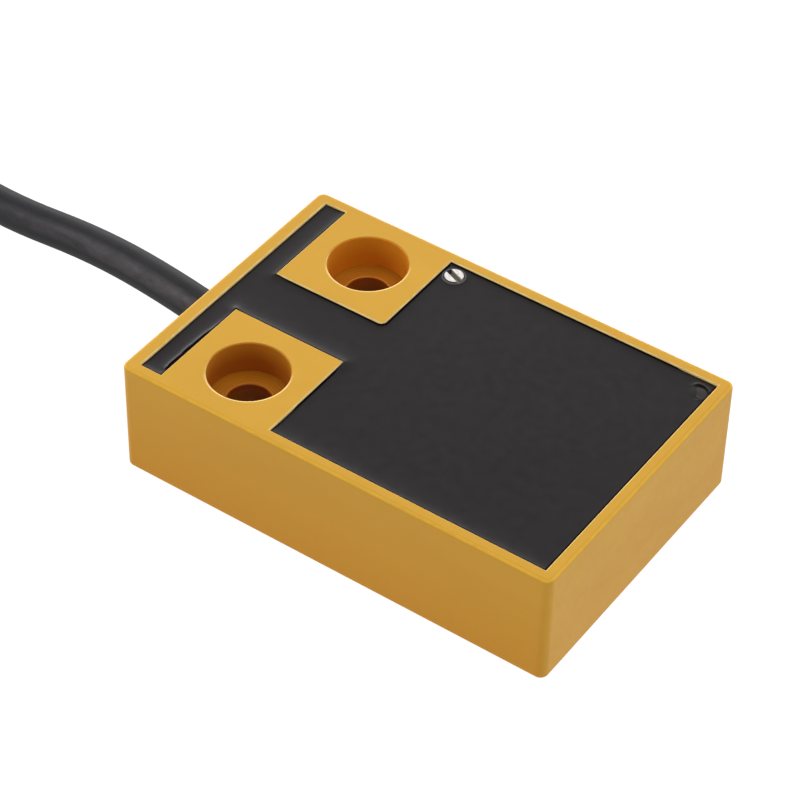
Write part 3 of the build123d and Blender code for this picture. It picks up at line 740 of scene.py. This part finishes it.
def strip_crevice(x, y):
    """How the resin's height changes beside the front boss: a raised lip, then a drop."""
    if not (STRIP_LEFT < x < STRIP_RIGHT + 0.01 and -17.7 < y < -5.5):
        return 0.0
    width = crevice_width(y)
    back = STRIP_RIGHT - width - x
    share = min(1.0, width / 0.2)
    if back < 0:
        return -0.2 * share
    return share * 0.17 * exp(-back / 0.3)


def shrinkage_line(distance):
    """The profile beside a wall that the resin has pulled away from: a film on the wall, then an open line."""
    film = FILM_RISE * eased(1.25 - distance / FILM_THICKNESS)
    return film - LINE_DEPTH * exp(-(((distance - LINE_MIDDLE) / LINE_WIDTH) ** 2))


def indicator_shape(x, y):
    """How the resin's height changes round the indicator: an open crevice and a lip on the far side."""
    dx, dy = x - LED_OPENING[0], y - LED_OPENING[1]
    radius = hypot(dx, dy)
    if radius > 3.2:
        return 0.0
    angle = atan2(dy, dx)
    far = eased(0.5 + 1.4 * cos(angle - radians(35)))
    near = eased(0.5 + 1.3 * cos(angle - radians(205)))
    left = exp(-(((angle - radians(130)) / radians(35)) ** 2))
    bead = 0.15 * exp(-(((x - LED_BEAD[0]) ** 2 + (y - LED_BEAD[1]) ** 2) / 0.24**2))
    if radius < LED_RIM:
        return bead - 0.185 * (1 - near) + 0.06 * near * (1 - (radius / LED_RIM) ** 2)
    beyond = radius - LED_RIM
    trough = 0.12 * far * exp(-(((beyond - 0.05) / 0.05) ** 2))
    lip = (0.13 * far + 0.1 * left) * eased((beyond - 0.03) / 0.12) * exp(-max(0.0, beyond - 0.15) / 0.3)
    return lip + bead - trough


def resin_height(x, y):
    """The cured surface: level, climbing some walls and parted from others by a thin line."""
    height = SKIN_TOP + 0.008 * sin(0.31 * x + 0.8) * sin(0.27 * y + 0.3)
    climb, line = 0.0, 0.0
    for wall in WALLS:
        distance = max(0.0, wall_distance(x, y, wall) - WALL_GAP)
        if wall[4] and distance < 5.0:
            climb = hypot(climb, wall[4] * exp(-distance / wall[5]))
            line = min(line, -GROOVE_DEPTH * exp(-((distance / GROOVE_WIDTH) ** 2)))
            if wall is WALLS[-1]:
                line = min(line, -END_GAP_DEPTH * eased((END_GAP - distance) / 0.03))
        elif distance < 0.4:
            line = shrinkage_line(distance) if line == 0.0 else max(line, shrinkage_line(distance))
    if x > CORNER[0] and y < CORNER[1]:
        near_corner = max(0.0, hypot(x - CORNER[0], y - CORNER[1]) - CORNER_RADIUS - WALL_GAP)
        line = shrinkage_line(near_corner) if near_corner < 0.4 else line
    near_screw = hypot(x - SCREW[0], y - SCREW[1]) - COLLAR_RADIUS - WALL_GAP
    height += min(climb, 0.24) + 0.06 * exp(-max(0.0, near_screw) / 0.4)
    height += strip_crevice(x, y) + indicator_shape(x, y) + line
    return min(max(height, SKIN_BOTTOM + 0.012), 15.93)


def settled(x, y):
    """A point moved off a curved wall that it is in, or on to one that it is nearly at."""
    for centre, radius in ((CORNER, CORNER_RADIUS), (SCREW, COLLAR_RADIUS)):
        dx, dy = x - centre[0], y - centre[1]
        reach = hypot(dx, dy)
        by_corner = dx > -0.001 and dy < 0.001 and x < BOSS_RIGHT + 0.3 and y > NECK_HALF - 0.3
        if centre is CORNER and not by_corner:
            continue
        if radius - 0.25 < reach < radius + WALL_GAP:
            grown = (radius + WALL_GAP) / reach
            return centre[0] + dx * grown, centre[1] + dy * grown
    return x, y


def add_resin_skin():
    """The top of the potting, as cast and cured, on a fine grid that is closed underneath."""
    walls_x = (STRIP_LEFT + WALL_GAP, STRIP_RIGHT - WALL_GAP, BOSS_RIGHT + WALL_GAP, FIELD_RIGHT - WALL_GAP)
    walls_y = (-POCKET_HALF + WALL_GAP, -NECK_HALF + WALL_GAP, NECK_HALF - WALL_GAP, POCKET_HALF - WALL_GAP)
    xs = lines_between(walls_x[0], walls_x[3], walls_x)
    ys = lines_between(walls_y[0], walls_y[3], walls_y)
    xs = merged(xs, patch_lines(CORNER[0], BOSS_RIGHT + WALL_GAP, 0.1), CORNER[0], BOSS_RIGHT + WALL_GAP)
    ys = merged(ys, patch_lines(NECK_HALF - WALL_GAP, CORNER[1], 0.1), NECK_HALF - WALL_GAP, CORNER[1])
    xs = merged(xs, patch_lines(SCREW[0] - 1.65, SCREW[0] + 1.75, 0.11), SCREW[0] - 1.65, SCREW[0] + 1.75)
    ys = merged(ys, patch_lines(SCREW[1] - 1.9, SCREW[1] + 1.85, 0.08), SCREW[1] - 1.9, SCREW[1] + 1.85)
    crevice = (STRIP_RIGHT - 0.8, STRIP_RIGHT - WALL_GAP)
    xs = merged(xs, patch_lines(*crevice, 0.03), *crevice)
    xs = merged(xs, patch_lines(LED[0] - 1.9, LED[0] + 1.5, 0.045), LED[0] - 1.9, LED[0] + 1.5)
    ys = merged(ys, patch_lines(LED[1] - 1.9, LED[1] + 1.9, 0.045), LED[1] - 1.9, LED[1] + 1.9)
    bm = bmesh.new()
    top, bottom = {}, {}

    def corner(i, j):
        if (i, j) not in top:
            x, y = settled(xs[i], ys[j])
            top[i, j] = bm.verts.new(Vector((x, y, resin_height(x, y))) * MM)
            bottom[i, j] = bm.verts.new(Vector((x, y, SKIN_BOTTOM)) * MM)
        return i, j

    cells = set()
    for i in range(len(xs) - 1):
        for j in range(len(ys) - 1):
            if inside_pocket((xs[i] + xs[i + 1]) / 2, (ys[j] + ys[j + 1]) / 2) > 0:
                cells.add((i, j))
    for i, j in sorted(cells):
        around = [corner(i, j), corner(i + 1, j), corner(i + 1, j + 1), corner(i, j + 1)]
        bm.faces.new([top[key] for key in around])
        bm.faces.new([bottom[key] for key in reversed(around)])
        beside = ((i, j - 1), (i + 1, j), (i, j + 1), (i - 1, j))
        for number, neighbour in enumerate(beside):
            if neighbour not in cells:
                start, end = around[number], around[(number + 1) % 4]
                bm.faces.new((top[end], top[start], bottom[start], bottom[end]))
    bmesh.ops.dissolve_degenerate(bm, edges=bm.edges, dist=1e-8)
    bmesh.ops.recalc_face_normals(bm, faces=bm.faces)
    mesh = bpy.data.meshes.new("resin_surface")
    bm.to_mesh(mesh)
    bm.free()
    mesh.shade_smooth()
    mesh.set_sharp_from_angle(angle=radians(50))
    skin = bpy.data.objects.new("resin_surface", mesh)
    scene.collection.objects.link(skin)
    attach(skin, BODY)
    dress(skin, "potting_resin")


# ---------------------------------------------------------------- the making
scene.view_settings.view_transform = "Standard"
add_camera()
add_cable()
add_light()
add_floor()
dress_cad_nodes()
add_resin_skin()
